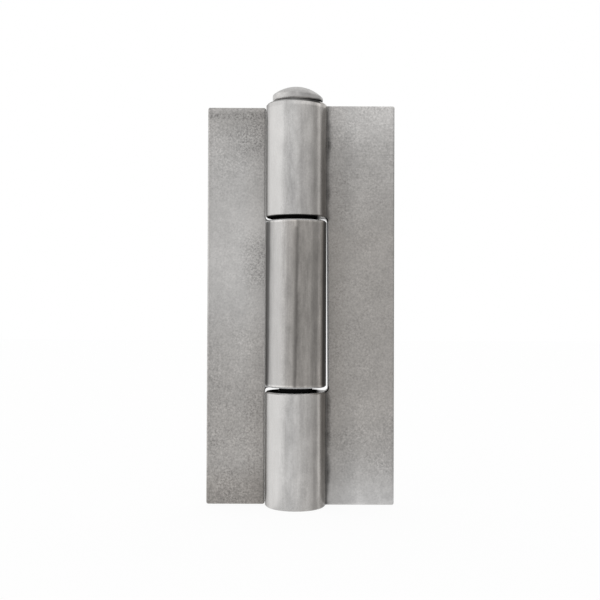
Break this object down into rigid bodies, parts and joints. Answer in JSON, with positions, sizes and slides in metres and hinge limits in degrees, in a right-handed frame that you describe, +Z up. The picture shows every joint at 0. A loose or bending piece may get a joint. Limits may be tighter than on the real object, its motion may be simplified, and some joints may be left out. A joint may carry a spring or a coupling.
{
  "type": "butt hinge",
  "caption": "Weld-on butt hinge: two bare steel leaves with rolled, interlocking knuckles that turn on a domed-head pin.",
  "frame": {"origin": "on the pin axis, at the bottom end of the hinge", "axes": "+Z up the pin towards its domed head, +X towards the leaf with two knuckles, -Y the front, which the leaves close towards; the hinge is stored open and flat"},
  "size_m": [0.0562, 0.0182, 0.1253],
  "materials": {
    "sheet_steel": "bare hot-rolled sheet, mottled on the flats and drawn smooth along the knuckles",
    "pin_steel": "bare cold-headed steel, satin"
  },
  "bodies": {
    "right_leaf": {"two_knuckle_leaf": "sheet_steel", "hinge_pin": "pin_steel"},
    "left_leaf": {"one_knuckle_leaf": "sheet_steel"}
  },
  "joints": [
    {"name": "leaf_swing", "type": "hinge", "parent": "right_leaf", "child": "left_leaf", "pos_m": [0, 0, 0.0608], "axis": [0, 0, 1], "range_deg": [-128, 180]}
  ]
}
